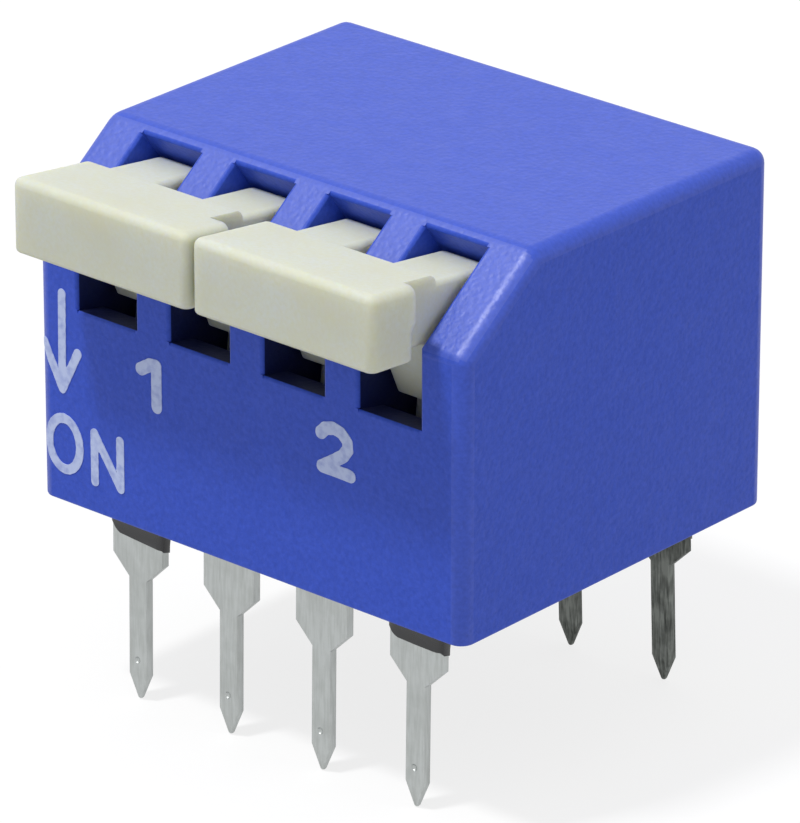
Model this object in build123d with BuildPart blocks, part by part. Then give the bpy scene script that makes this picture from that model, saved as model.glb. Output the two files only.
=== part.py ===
"""Two-pole piano-type DIP switch: a blue cover over a black base, two cream levers that each bridge
two slots, eight flat terminals on a 2.54 mm grid and one wiping contact spring for each slot.

Millimetres. X runs along the front face, Y to the back and Z up. The origin is the centre of the
terminal grid, in the plane of the body's underside.
"""
from build123d import *
from math import cos, hypot, radians, sin, tan
import os

os.makedirs("parts", exist_ok=True)

# Terminal grid
pitch = 2.54                    # spacing of the terminals, and so of the slots
row_spacing = 7.62              # spacing of the two rows
levers = 2
arms_per_lever = 2

# Terminals
blade_thickness = 0.22
shoulder_width = 1.40
leg_width = 0.50
shoulder_end = 1.22             # below the underside
neck_end = 1.66
tip_start = 3.85
terminal_length = 4.40
tip_width = 0.08
front_splay = 0.8               # outward lean of each row below the body, degrees
rear_splay = 2.5
rail_width = 0.50               # contact rails inside, on the base
rail_gap = 0.20                 # between the two rails of a bay
front_rail_reach = 0.70         # past the pivot
rear_rail_reach = 0.0

# Cover
slot_width = 1.62
side_wall = 1.13
end_wall = 0.75                 # front and rear walls
roof = 0.95
rim = 0.45                      # around the base
body_height = 7.85
slant_depth = 2.20              # how far back the sloping face reaches at the top
slant_drop = 1.68               # and how far down it reaches at the front
slot_lip = 0.25                 # left between the top edge of the slope and the slot
side_radius = 0.32              # rounding of the side faces' edges and the rear top edge

# Base and seal
base_top = 1.52
seal_top = 0.35
seal_recess = 0.05              # the seal lies this far inside the rim
collar_drop = 0.80              # how far the seal creeps down each terminal
collar_spread = 0.20            # width of the collar around a terminal, at the seal
collar_edge = 0.06              # and at its lower end

# Levers, drawn in the raised position
pivot_setback = 2.15            # from the front face
pivot_drop = 2.90               # from the top
lever_travel = 15.0             # degrees from raised to pressed
top_tilt = 7.3                  # the lever's top falls to the back by this many degrees
under_tilt = 4.4                # and the bar's underside by this many
arm_drop = 0.37                 # arm's top below the slot's upper end
bar_reach = 1.65                # front of the bar, ahead of the front face
bar_depth = 1.28
bar_height = 1.64               # at its front
bar_short = 0.32                # a bar is this much shorter than the slots' pitches it spans
bar_radius = 0.22
shelf_reach = 0.97              # the bar's top reaches back over the slope by this much more
shelf_root = 0.93               # thickness of that shelf where it leaves the bar
shelf_edge = 0.50               # and at its rear edge
boss_radius = 0.89
arm_sink = 0.15                 # arm's top below the shelf's
arm_step = 0.08                 # arm's underside above the bar's
web_setback = 0.30              # front edge of an arm's web, behind the front face
web_rake = 0.68                 # how far that edge leans back
web_angle = 25.9                # slope of the web's lower edge, degrees
heel_width = 0.80
trunnion_radius = 0.35

# Contact springs
strip = 0.12                    # thickness of the spring strip
clip_width = 1.20
clip_height = 0.70
finger_width = 0.40
finger_radius = 0.45            # outside of the bowed fingers
finger_lap = 0.04               # from the fingers' centre to the underside of the clip

# Clearances
base_fit = 0.04                 # between the base and the rim
blade_clear = 0.08              # between the terminals and the end walls
arm_clear = 0.12                # between an arm and each side of its slot
back_clear = 0.06               # between an arm and the end of its slot
floor_clear = 0.06              # between a pressed arm and the floor of its slot
bar_gap = 0.12                  # between the bars
trunnion_clear = 0.05           # around the trunnions
trunnion_gap = 0.44             # between the trunnions of neighbouring arms
trunnion_end = 0.16             # beyond the outermost trunnions
post_clear = 0.05               # around the base's bearing posts
post_drop = 0.25                # from the pivot down to the top of a post
wipe_clear = 0.05               # left between the fingers and the rails

# Body
slot_count = levers * arms_per_lever
slot_xs = [(i - (slot_count - 1) / 2) * pitch for i in range(slot_count)]
bay_edge = slot_xs[-1] + slot_width / 2             # inner face of the side wall
half_width = bay_edge + side_wall
rear = row_spacing / 2 + blade_thickness / 2 + blade_clear + end_wall
front = -rear
cavity_front = front + end_wall
cavity_rear = rear - end_wall
ceiling = body_height - roof
outside = 2 * half_width                            # a length that clears the whole body

# Slope and slots
slant_top = (front + slant_depth, body_height)
slant_foot = body_height - slant_drop
slant_run = hypot(slant_depth, slant_drop)
slope_y = slant_depth / slant_run                   # unit vector up the slope
slope_z = slant_drop / slant_run
slot_end = (slant_top[0] - slot_lip * slope_y, slant_top[1] - slot_lip * slope_z)
end_depth = (slot_end[1] - ceiling) / slope_y       # length of the slot's end, square to the slope
pivot_y = front + pivot_setback
pivot_z = body_height - pivot_drop
pressed_slope = tan(radians(web_angle - lever_travel))
slot_floor = (pivot_z - boss_radius / cos(radians(web_angle - lever_travel))
              + pivot_setback * pressed_slope - floor_clear)
floor_fall = end_wall * pressed_slope

# Bearings and contacts
rib = pitch - slot_width
notch_half = trunnion_radius + trunnion_clear
notch_depth = (rib - trunnion_gap) / 2 + trunnion_end
rail_offset = (rail_width + rail_gap) / 2
contact_radius = pivot_z - base_top - wipe_clear    # from the pivot to the tip of a finger
finger_center = contact_radius - finger_radius
heel_length = finger_center + finger_lap - strip    # from the pivot to the end of the heel

# Levers
arm_width = slot_width - 2 * arm_clear
trunnion_length = arm_clear + (rib - trunnion_gap) / 2
bar_length = arms_per_lever * pitch - bar_short
bar_front = front - bar_reach
bar_rear = bar_front + bar_depth
shelf_rear = bar_rear + shelf_reach
web_root = front + web_setback
arm_root = bar_rear - bar_depth / 2                 # where an arm starts inside the bar
tilt = tan(radians(top_tilt))
back_top = (arm_drop + arm_sink - back_clear * (slope_z + slope_y * tilt)) / (slope_y - slope_z * tilt)


def up_slope(point, along, inward):
    """A point moved along the slope and then square to it, into the body."""
    y, z = point
    return (y + along * slope_y + inward * slope_z, z + along * slope_z - inward * slope_y)


def at_heel(along, across):
    """A point on a raised lever's heel, from the pivot: along it and across it, to the back."""
    lean = radians(lever_travel / 2)
    return (pivot_y - along * sin(lean) + across * cos(lean),
            pivot_z - along * cos(lean) - across * sin(lean))


def lever_top(y):
    """Height of a raised lever's top face."""
    return slot_end[1] - arm_drop + (slot_end[0] - y) * tilt


def bar_under(y):
    """Height of a raised bar's underside."""
    return lever_top(bar_front) - bar_height + (bar_front - y) * tan(radians(under_tilt))


def lean_out(side, drop):
    """How far a row's terminals have leaned outward at a depth below the underside."""
    return side * drop * tan(radians(rear_splay if side > 0 else front_splay))


def draw_blade(side):
    """Edge view of a terminal's blade, upright in the body and leaning outward below it."""
    middle = side * row_spacing / 2
    inner, outer = middle - side * blade_thickness / 2, middle + side * blade_thickness / 2
    lean = lean_out(side, terminal_length)
    Polygon((outer, base_top), (outer, 0), (outer + lean, -terminal_length),
            (inner + lean, -terminal_length), (inner, 0), (inner, base_top), align=None)


def draw_rail(x, side):
    """Plan view of the contact rail that a terminal's top is bent into."""
    start = side * (row_spacing + blade_thickness) / 2
    stop = pivot_y - rear_rail_reach if side > 0 else pivot_y + front_rail_reach
    with Locations((x + side * rail_offset, (start + stop) / 2)):
        Rectangle(rail_width, abs(start - stop))


# The web under each arm, from the arm's underside down to the boss around the pivot
web_reach = web_root + web_rake
tangent = (pivot_y - boss_radius * sin(radians(web_angle)), pivot_z - boss_radius * cos(radians(web_angle)))
web_corner = (web_reach, tangent[1] + (tangent[0] - web_reach) * tan(radians(web_angle)))

terminals = [(x, side) for side in (-1, 1) for x in slot_xs]

# Cover
with BuildPart() as cover:
    with BuildSketch(Plane.YZ):
        Polygon((front, 0), (rear, 0), (rear, body_height), slant_top, (front, slant_foot), align=None)
    extrude(amount=half_width, both=True)
    side_faces = cover.faces().sort_by(Axis.X)
    rear_top = cover.faces().sort_by(Axis.Z)[-1].edges().sort_by(Axis.Y)[-1]
    fillet([e for e in side_faces[0].edges() + side_faces[-1].edges() if e.center().Z > 0] + [rear_top],
           radius=side_radius)
    # one bay under each slot, open below
    with BuildSketch(Plane.XY):
        with Locations([(x, (cavity_front + cavity_rear) / 2) for x in slot_xs]):
            Rectangle(slot_width, cavity_rear - cavity_front)
    extrude(amount=ceiling, mode=Mode.SUBTRACT)
    # the slots, through the slope and the front wall
    for x in slot_xs:
        with BuildSketch(Plane.YZ.offset(x)):
            Polygon((front - outside, slot_floor), (front, slot_floor),
                    (cavity_front, slot_floor - floor_fall), (pivot_y, slot_floor - floor_fall),
                    up_slope(slot_end, 0, end_depth), up_slope(slot_end, 0, -outside),
                    (front - outside, body_height + outside), align=None)
        extrude(amount=slot_width / 2, both=True, mode=Mode.SUBTRACT)
    # notches for the trunnions, open below for the bearing posts
    with BuildSketch(Plane.YZ):
        with Locations((pivot_y, (pivot_z + base_top) / 2)):
            Rectangle(2 * notch_half, pivot_z - base_top)
        with Locations((pivot_y, pivot_z)):
            Circle(notch_half)
    extrude(amount=bay_edge + notch_depth, both=True, mode=Mode.SUBTRACT)
    # pocket for the base and the seal
    with BuildSketch(Plane.XY):
        Rectangle(2 * (half_width - rim), 2 * (rear - rim))
    extrude(amount=base_top, mode=Mode.SUBTRACT)
cover.part.label = "cover"
export_step(cover.part, "parts/cover.step")

# Base with its bearing posts
with BuildPart() as base:
    with BuildSketch(Plane.XY.offset(seal_top)):
        Rectangle(2 * (half_width - rim - base_fit), 2 * (rear - rim - base_fit))
    extrude(amount=base_top - seal_top)
    post_height = pivot_z - post_drop - base_top
    with BuildSketch(Plane.XY.offset(base_top)):
        with Locations([((i - (slot_count - 2) / 2) * pitch, pivot_y) for i in range(slot_count - 1)]):
            Rectangle(rib - 2 * post_clear, 2 * (notch_half - post_clear))
        with Locations([(side * (bay_edge + notch_depth / 2), pivot_y) for side in (-1, 1)]):
            Rectangle(notch_depth - 2 * post_clear, 2 * (notch_half - post_clear))
    extrude(amount=post_height)
    with BuildSketch(Plane.YZ):
        with Locations((pivot_y, pivot_z)):
            Circle(notch_half)
    extrude(amount=half_width, both=True, mode=Mode.SUBTRACT)
    for x, side in terminals:
        with BuildSketch(Plane.YZ.offset(x)):
            draw_blade(side)
        extrude(amount=shoulder_width / 2, both=True, mode=Mode.SUBTRACT)
        with BuildSketch(Plane.XY.offset(base_top)):
            draw_rail(x, side)
        extrude(amount=-blade_thickness, mode=Mode.SUBTRACT)
base.part.label = "base"
export_step(base.part, "parts/base.step")

# Sealing resin, with a collar around each terminal
with BuildPart() as bottom_seal:
    with BuildSketch(Plane.XY.offset(seal_recess)):
        Rectangle(2 * (half_width - rim), 2 * (rear - rim))
    extrude(amount=seal_top - seal_recess)
    for x, side in terminals:
        root = (x, side * row_spacing / 2)
        tip = (x, root[1] + lean_out(side, collar_drop))
        with BuildSketch(Plane.XY.offset(seal_recess)):
            with Locations(root):
                Rectangle(shoulder_width + 2 * collar_spread, blade_thickness + 2 * collar_spread)
        with BuildSketch(Plane.XY.offset(-collar_drop)):
            with Locations(tip):
                Rectangle(shoulder_width + 2 * collar_edge, blade_thickness + 2 * collar_edge)
        loft()
    for x, side in terminals:
        with BuildSketch(Plane.YZ.offset(x)):
            draw_blade(side)
        extrude(amount=shoulder_width / 2, both=True, mode=Mode.SUBTRACT)
bottom_seal.part.label = "bottom_seal"
export_step(bottom_seal.part, "parts/bottom_seal.step")

# Terminals
for x, side in terminals:
    row = "rear" if side > 0 else "front"
    name = f"terminal_{row}_{slot_xs.index(x) + 1}"
    with BuildPart() as terminal:
        with BuildSketch(Plane.YZ.offset(x)):
            draw_blade(side)
        extrude(amount=shoulder_width / 2, both=True)
        with BuildSketch(Plane.XZ):
            half_outline = [(shoulder_width / 2, base_top), (shoulder_width / 2, -shoulder_end),
                            (leg_width / 2, -neck_end), (leg_width / 2, -tip_start),
                            (tip_width / 2, -terminal_length)]
            Polygon([(x + a, z) for a, z in half_outline]
                    + [(x - a, z) for a, z in reversed(half_outline)], align=None)
        extrude(amount=outside, both=True, mode=Mode.INTERSECT)
        with BuildSketch(Plane.XY.offset(base_top)):
            draw_rail(x, side)
        extrude(amount=-blade_thickness)
    terminal.part.label = name
    export_step(terminal.part, f"parts/{name}.step")

# Levers
for index in range(levers):
    name = f"lever_{index + 1}"
    bar_middle = (index - (levers - 1) / 2) * (bar_length + bar_gap)
    with BuildPart() as lever:
        with BuildSketch(Plane.YZ.offset(bar_middle)):
            Polygon((bar_front, lever_top(bar_front)), (shelf_rear, lever_top(shelf_rear)),
                    (shelf_rear, lever_top(shelf_rear) - shelf_edge),
                    (bar_rear, lever_top(bar_rear) - shelf_root), (bar_rear, bar_under(bar_rear)),
                    (bar_front, bar_under(bar_front)), align=None)
        extrude(amount=bar_length / 2, both=True)
        fillet(lever.edges(), radius=bar_radius)
        lever_xs = slot_xs[index * arms_per_lever:(index + 1) * arms_per_lever]
        # beyond its last arm the bar has no shelf
        with BuildSketch(Plane.YZ.offset(lever_xs[-1] + arm_width / 2)):
            Polygon((bar_rear, 0), (rear, 0), (rear, outside), (bar_rear, outside), align=None)
        extrude(amount=bar_length, mode=Mode.SUBTRACT)
        for x in lever_xs:
            with BuildSketch(Plane.YZ.offset(x)):
                Polygon((arm_root, lever_top(arm_root) - arm_sink),
                        up_slope(slot_end, -back_clear, back_top),
                        up_slope(slot_end, -back_clear, end_depth), (pivot_y + boss_radius, pivot_z),
                        (pivot_y, pivot_z), tangent, web_corner,
                        (web_root, bar_under(web_root) + arm_step),
                        (arm_root, bar_under(arm_root) + arm_step), align=None)
                with Locations((pivot_y, pivot_z)):
                    Circle(boss_radius)
                Polygon(at_heel(0, -heel_width / 2), at_heel(0, heel_width / 2),
                        at_heel(heel_length, heel_width / 2), at_heel(heel_length, -heel_width / 2),
                        align=None)
            extrude(amount=arm_width / 2, both=True)
            with BuildSketch(Plane.YZ.offset(x)):
                with Locations((pivot_y, pivot_z)):
                    Circle(trunnion_radius)
            extrude(amount=arm_width / 2 + trunnion_length, both=True)
    lever.part.label = name
    export_step(lever.part, f"parts/{name}.step")

# Contact springs, each clipped on a heel, with two bowed fingers
clip_outer = heel_width / 2 + strip
finger_cut = heel_length + strip - finger_lap / 2     # where the fingers start inside the clip
for number, x in enumerate(slot_xs, start=1):
    name = f"contact_spring_{number}"
    with BuildPart() as spring:
        with BuildSketch(Plane.YZ.offset(x)):
            Polygon(*[at_heel(a, b) for a, b in (
                (heel_length - clip_height, -clip_outer), (heel_length + strip, -clip_outer),
                (heel_length + strip, clip_outer), (heel_length - clip_height, clip_outer),
                (heel_length - clip_height, heel_width / 2), (heel_length, heel_width / 2),
                (heel_length, -heel_width / 2), (heel_length - clip_height, -heel_width / 2))],
                align=None)
        extrude(amount=clip_width / 2, both=True)
        for offset_x in (-rail_offset, rail_offset):
            with BuildSketch(Plane.YZ.offset(x + offset_x)):
                with Locations(at_heel(finger_center, 0)):
                    Circle(finger_radius)
                    Circle(finger_radius - strip, mode=Mode.SUBTRACT)
                Polygon(at_heel(finger_cut, -heel_width), at_heel(contact_radius + strip, -heel_width),
                        at_heel(contact_radius + strip, heel_width), at_heel(finger_cut, heel_width),
                        align=None, mode=Mode.INTERSECT)
            extrude(amount=finger_width / 2, both=True)
    spring.part.label = name
    export_step(spring.part, f"parts/{name}.step")
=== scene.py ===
"""Looks of a two-pole piano-type DIP switch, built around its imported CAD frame.

Pieces are drawn in millimetres and turned to metres when they are finished. X runs along the front
face, Y to the back and Z up, as in the frame.
"""
import math
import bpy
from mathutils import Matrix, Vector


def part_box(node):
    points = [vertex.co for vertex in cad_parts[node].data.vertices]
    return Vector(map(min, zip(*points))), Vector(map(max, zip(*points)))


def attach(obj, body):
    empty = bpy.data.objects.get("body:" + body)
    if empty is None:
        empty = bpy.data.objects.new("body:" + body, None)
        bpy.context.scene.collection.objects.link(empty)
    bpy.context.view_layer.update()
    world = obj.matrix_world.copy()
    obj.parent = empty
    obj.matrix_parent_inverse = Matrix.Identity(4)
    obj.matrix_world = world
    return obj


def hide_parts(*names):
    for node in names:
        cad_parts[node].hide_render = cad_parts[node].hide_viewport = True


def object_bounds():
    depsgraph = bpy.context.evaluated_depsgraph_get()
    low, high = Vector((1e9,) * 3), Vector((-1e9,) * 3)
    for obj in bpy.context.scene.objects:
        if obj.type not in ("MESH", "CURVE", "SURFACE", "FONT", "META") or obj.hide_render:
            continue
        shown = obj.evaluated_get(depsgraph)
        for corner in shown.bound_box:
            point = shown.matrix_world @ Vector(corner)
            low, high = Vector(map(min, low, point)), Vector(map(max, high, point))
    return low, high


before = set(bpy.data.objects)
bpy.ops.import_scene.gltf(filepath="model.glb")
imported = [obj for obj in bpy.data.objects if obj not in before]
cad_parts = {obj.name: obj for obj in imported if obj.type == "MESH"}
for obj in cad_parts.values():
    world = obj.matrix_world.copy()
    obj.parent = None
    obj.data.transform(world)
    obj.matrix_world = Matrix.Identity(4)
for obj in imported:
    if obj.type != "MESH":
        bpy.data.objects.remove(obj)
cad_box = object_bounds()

from types import SimpleNamespace

import bmesh
import bpy
import numpy as np
from bpy.props import FloatProperty, FloatVectorProperty, PointerProperty
from mathutils import Matrix, Vector

bl_info = {
    "name": "Piano DIP switch",
    "version": (1, 0, 0),
    "blender": (4, 5, 0),
    "location": "View3D > Sidebar > DIP switch",
    "description": "Dresses the CAD frame of a piano-type DIP switch with its moulded and plated pieces",
    "category": "Object",
}

MM = 0.001
WORN_EDGE = 0.3                 # how far a moulded edge has lost the tool's texture
SHARP = math.radians(32)        # creases from here up stay sharp
FLAT = math.radians(0.4)        # and those below this are flattened
CLOSE = 1e-4                    # points nearer than this, in mm, are one
NEAR = 0.01                     # places nearer than this, in mm, count as the same
BEYOND = 1.0                    # how far a lip's cutter reaches past the body, in mm
HAIR, WIDE_HAIR = 0.003, 0.005  # and how far it stays off the faces that it meets


def linear(code):
    """The linear RGB of an sRGB hex colour."""
    parts = [int(code[i:i + 2], 16) / 255 for i in (1, 3, 5)]
    return tuple(c / 12.92 if c <= 0.04045 else ((c + 0.055) / 1.055) ** 2.4 for c in parts)


def length(label, size, about):
    """A length property, its default given in millimetres."""
    return FloatProperty(name=label, description=about, default=size * MM, unit="LENGTH", precision=5)


def angle(label, size, about):
    """An angle property, its default given in degrees."""
    return FloatProperty(name=label, description=about, default=math.radians(size), subtype="ANGLE")


def colour(label, code, about):
    """A colour property, its default given as an sRGB hex value."""
    return FloatVectorProperty(name=label, description=about, default=linear(code), subtype="COLOR",
                               size=3, min=0, max=1)


def in_mm(group):
    """A group's lengths in millimetres and its angles in radians."""
    kinds = group.bl_rna.properties
    return SimpleNamespace(**{k: getattr(group, k) * (1 / MM if kinds[k].unit == "LENGTH" else 1)
                              for k in group.__annotations__})


# Sizes and colours

class BodySizes(bpy.types.PropertyGroup):
    pitch: length("Pitch", 2.54, "Spacing of the slots and of the terminals in a row")
    row_spacing: length("Row spacing", 7.62, "Spacing of the two rows of terminals")
    slot_width: length("Slot width", 1.62, "Width of each slot in the cover")
    slot_floor: length("Slot floor", 4.398, "Height of a slot's floor at the front face")
    floor_fall: length("Floor fall", 0.144, "How far the floor falls through the front wall")
    end_wall: length("End wall", 0.75, "Thickness of the front and rear walls")
    roof: length("Roof", 0.95, "Thickness of the cover over its bays")
    rim: length("Rim", 0.45, "Wall around the base")
    base_top: length("Base top", 1.52, "Height of the base's top face")
    slant_depth: length("Slope depth", 2.20, "How far back the sloping face reaches")
    slant_drop: length("Slope drop", 1.68, "How far down the sloping face reaches")
    slot_lip: length("Slot lip", 0.25, "Left between the slope's top edge and the slots")
    side_radius: length("Side radius", 0.32, "Rounding of the side faces' edges and the rear top edge")
    slope_radius: length("Slope radius", 0.16, "Tangent length of the rounding at both ends of the slope")
    lip_radius: length("Lip radius", 0.10, "Rounding of the slots' edges")
    edge_radius: length("Edge radius", 0.05, "Rounding of the bottom edges")
    dark_foot: length("Dark foot", 3.17, "The bays are marked as inside from this height up")
    notch_half: length("Notch half width", 0.40, "Half the width of the trunnion notches")
    notch_foot: length("Notch foot", 1.0, "Lower end of the notches, within the base's pocket")
    notch_reach: length("Notch reach", 5.24, "How far the notches reach to each side")


class LeverSizes(bpy.types.PropertyGroup):
    pivot_setback: length("Pivot setback", 2.15, "Pivot behind the front face")
    pivot_drop: length("Pivot drop", 2.90, "Pivot below the top face")
    top_tilt: angle("Top tilt", 7.3, "Fall of the lever's top to the back")
    under_tilt: angle("Underside tilt", 4.4, "Fall of the bar's underside to the back")
    arm_drop: length("Arm drop", 0.37, "Arm's top below the slot's upper end")
    arm_clear: length("Arm clearance", 0.12, "Between an arm and each side of its slot")
    back_clear: length("Back clearance", 0.06, "Between an arm and its slot's upper end")
    bar_reach: length("Bar reach", 1.65, "Front of the bar, ahead of the front face")
    bar_depth: length("Bar depth", 1.28, "Depth of the bar below its shelf")
    bar_height: length("Bar height", 1.64, "Height of the bar at its front")
    bar_gap: length("Bar gap", 0.12, "Between the two bars")
    bar_short: length("Bar shortening", 0.32, "Bar shorter than two pitches by this")
    bar_radius: length("Bar radius", 0.20, "Rounding of the bar's upper edges")
    foot_radius: length("Foot radius", 0.08, "Rounding of the bar's lower edges")
    foot_zone: length("Foot zone", 0.30, "Edges this near to the bar's underside are lower edges")
    shelf_reach: length("Shelf reach", 0.97, "How far the bar's top reaches back over the slope")
    shelf_root: length("Shelf root", 0.93, "Shelf's thickness where it leaves the bar")
    shelf_edge: length("Shelf edge", 0.50, "Shelf's thickness at its rear edge")
    arm_radius: length("Arm radius", 0.13, "Rounding of the arms' edges")
    arm_zone: length("Arm zone", 1.20, "Cross edges of an arm are rounded down to this below the top")
    boss_radius: length("Boss radius", 0.89, "Boss around the pivot")
    arm_step: length("Arm step", 0.08, "Arm's underside above the bar's")
    arm_sink: length("Arm sink", 0.15, "Arm's top below the shelf's")
    web_angle: angle("Web angle", 25.9, "Slope of the web's lower edge")
    web_setback: length("Web setback", 0.30, "Front edge of an arm's web, behind the front face")
    web_rake: length("Web rake", 0.68, "How far that edge leans back")
    heel_width: length("Heel width", 0.80, "Width of the heel below the pivot")
    heel_length: length("Heel length", 2.85, "From the pivot to the heel's end")
    heel_lean: angle("Heel lean", 7.5, "Forward lean of the heel")
    trunnion_radius: length("Trunnion radius", 0.35, "Radius of the trunnions")
    trunnion_length: length("Trunnion length", 0.36, "Length of each trunnion")


class TerminalSizes(bpy.types.PropertyGroup):
    thickness: length("Thickness", 0.22, "Thickness of the strip")
    shoulder_width: length("Shoulder width", 1.40, "Width above the shoulder")
    leg_width: length("Leg width", 0.50, "Width of the leg")
    shoulder_end: length("Shoulder end", 1.22, "Shoulder's lower end below the body")
    neck_end: length("Neck end", 1.66, "Where the leg starts below the body")
    tip_start: length("Tip start", 3.85, "Where the point starts below the body")
    reach: length("Reach", 4.40, "Length below the body")
    tip_width: length("Tip width", 0.08, "Width of the point's end")
    tip_thickness: length("Tip thickness", 0.11, "Thickness of the coined point")
    front_splay: angle("Front splay", 0.8, "Outward lean of the front row")
    rear_splay: angle("Rear splay", 2.5, "Outward lean of the rear row")
    edge_radius: length("Edge radius", 0.035, "Rollover along the stamped edges")
    dimple_radius: length("Dimple radius", 0.075, "Radius of the locating dimple")
    dimple_depth: length("Dimple depth", 0.045, "Depth of the locating dimple")
    dimple_drop: length("Dimple drop", 3.50, "Dimple below the body")
    rail_width: length("Rail width", 0.50, "Width of the contact rail")
    rail_shift: length("Rail shift", 0.35, "Rail's middle beside the terminal's, to the right at the rear")
    rail_past: length("Rail past pivot", 0.70, "How far a front rail reaches past the pivot")


class SealSizes(bpy.types.PropertyGroup):
    top: length("Seal top", 0.35, "Height of the seal's top face")
    recess: length("Seal recess", 0.05, "The seal lies this far inside the rim")
    wave: length("Surface wave", 0.02, "Unevenness of the poured surface")
    spread: length("Spread", 0.24, "How far a meniscus reaches over the seal")
    film: length("Film", 0.03, "Thickness of the resin at a meniscus's lower edge")
    root: length("Root", 0.06, "How far up inside the layer a meniscus starts")
    ripple: length("Ripple", 0.05, "Unevenness of a meniscus's lower edge")


class PrintSizes(bpy.types.PropertyGroup):
    thickness: length("Ink thickness", 0.015, "Height of the ink above the face")
    root: length("Ink root", 0.01, "How far below the face the film starts")
    thin_stroke: length("Thin stroke", 0.21, "Stroke width of the arrow and the letters")
    bold_stroke: length("Bold stroke", 0.28, "Stroke width of the numerals")
    grid: length("Outline grid", 0.03, "Spacing of the points that an outline is drawn from")


class Colours(bpy.types.PropertyGroup):
    body: colour("Body blue", "#3554C8", "Blue of the cover")
    body_deep: colour("Deep blue", "#2B4AB8", "Darker mottling of the cover")
    # Painted shade: the dark navy that the insides of the slots are painted with
    body_inside: colour("Inside blue", "#131D52", "Greased blue low down inside the slots")
    lever: colour("Lever cream", "#CBD0CA", "Cream of the levers")
    lever_warm: colour("Warm cream", "#C9CBB9", "Warmer mottling of the levers")
    tin: colour("Tin", "#B9BDBC", "Plating of the terminals")
    tin_dull: colour("Dull tin", "#A8ACAA", "Streaks and handling marks in the plating")
    # Painted shade: the rear row's two greys, darker than the front row's
    tin_worn: colour("Worn tin", "#858985", "Plating of the rear row")
    tin_dark: colour("Dark tin", "#3F423F", "Tarnish of the rear row")
    resin: colour("Resin", "#101116", "Sealing resin")
    base: colour("Base black", "#18191D", "Base moulding")
    gold: colour("Gold flash", "#D2A455", "Contact springs")
    ink: colour("Ink", "#B9C6EC", "Printed marks")
    ink_thin: colour("Thin ink", "#94A3DA", "Where the ink is thin")
    paper: colour("Paper", "#FFFFFF", "Floor as it is seen")
    paper_bounce: colour("Paper bounce", "#C2C2C2", "Floor as it lights the switch from below")


class StageSettings(bpy.types.PropertyGroup):
    azimuth: angle("Camera azimuth", 41.13, "Camera's turn from the front face")
    elevation: angle("Camera elevation", 23.59, "Camera's height above the horizon")
    roll: angle("Camera roll", 0.05, "Camera's roll")
    distance: length("Camera distance", 152.55, "From the camera's plane to the origin")
    aim_right: length("Aim right", 0.035, "Origin to the right of the picture's centre")
    aim_down: length("Aim down", 1.767, "Origin below the picture's centre")
    lens: FloatProperty(name="Lens", description="Focal length for the sensor's width", default=323.2)
    sensor: FloatProperty(name="Sensor", description="Width of the sensor in millimetres", default=36)
    floor_size: length("Floor size", 1500, "Half the width of the floor")
    floor_gap: length("Floor gap", 0.02, "The floor lies this far below the terminals")
    world_level: FloatProperty(name="World level", description="Ambient light", default=0.60)
    floor_glow: FloatProperty(name="Floor glow", default=0.78, subtype="FACTOR", min=0, max=1,
                              description="Share of plain white in the floor as the camera sees it")


# Mesh tools

def bridge(one, two):
    """A mesh between two like outlines of (x, y, z) points."""
    bm = bmesh.new()
    rings = [[bm.verts.new(point) for point in ring] for ring in (one, two)]
    bm.faces.new(rings[0])
    bm.faces.new(rings[1][::-1])
    for i in range(len(one)):
        j = (i + 1) % len(one)
        bm.faces.new((rings[0][j], rings[0][i], rings[1][i], rings[1][j]))
    bmesh.ops.recalc_face_normals(bm, faces=bm.faces[:])
    return bm


def prism(outline, x0, x1):
    """A mesh from an outline of (y, z) points, extruded along X."""
    return bridge(*[[(x, y, z) for y, z in outline] for x in (x0, x1)])


def round_edges(bm, radius, steps, wanted):
    """Rounds the edges that a test picks, and marks the new faces as a little worn."""
    mark = bm.faces.layers.float.get("worn") or bm.faces.layers.float.new("worn")
    picked = [e for e in bm.edges if len(e.link_faces) == 2 and wanted(e)]
    made = bmesh.ops.bevel(bm, geom=picked, offset=radius, offset_type="OFFSET", segments=steps,
                           profile=0.5, affect="EDGES", clamp_overlap=True)
    for f in made["faces"]:
        f[mark] = WORN_EDGE
    return bm


def turn(edge):
    """Degrees between the faces of an edge, positive where it is convex."""
    return math.degrees(edge.calc_face_angle_signed(0))


def extent(edge, axis):
    """The lowest and the highest place of an edge along an axis."""
    return sorted(getattr(v.co, axis) for v in edge.verts)


def at_side(edge):
    """Whether an edge bounds a face that looks along X."""
    return any(abs(f.normal.x) > 0.99 for f in edge.link_faces)


def to_object(bm, name):
    """A new object in the scene from a mesh under construction."""
    data = bpy.data.meshes.new(name)
    bm.to_mesh(data)
    bm.free()
    made = bpy.data.objects.new(name, data)
    bpy.context.scene.collection.objects.link(made)
    return made


def combine(target, shape, how):
    """Joins or cuts an object with another mesh, which is used up."""
    tool = to_object(shape, "tool")
    bpy.context.view_layer.update()
    step = target.modifiers.new(how, "BOOLEAN")
    step.operation, step.solver, step.object = how, "EXACT", tool
    graph = bpy.context.evaluated_depsgraph_get()
    data = bpy.data.meshes.new_from_object(target.evaluated_get(graph))
    target.modifiers.clear()
    if not data.polygons:
        raise RuntimeError(f"{how} left nothing of {target.name}")
    old, target.data = target.data, data
    bpy.data.meshes.remove(old)
    spent = tool.data
    bpy.data.objects.remove(tool)
    bpy.data.meshes.remove(spent)


def merge_flats(piece, mark=None):
    """Merges doubled points and flat neighbours of a piece, then marks its faces where asked."""
    bm = bmesh.new()
    bm.from_mesh(piece.data)
    bmesh.ops.remove_doubles(bm, verts=bm.verts[:], dist=CLOSE)
    bmesh.ops.dissolve_limit(bm, angle_limit=FLAT, verts=bm.verts[:], edges=bm.edges[:], delimit=set())
    bmesh.ops.recalc_face_normals(bm, faces=bm.faces[:])
    if mark:
        mark(bm)
    bm.to_mesh(piece.data)
    bm.free()
    return piece


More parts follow.
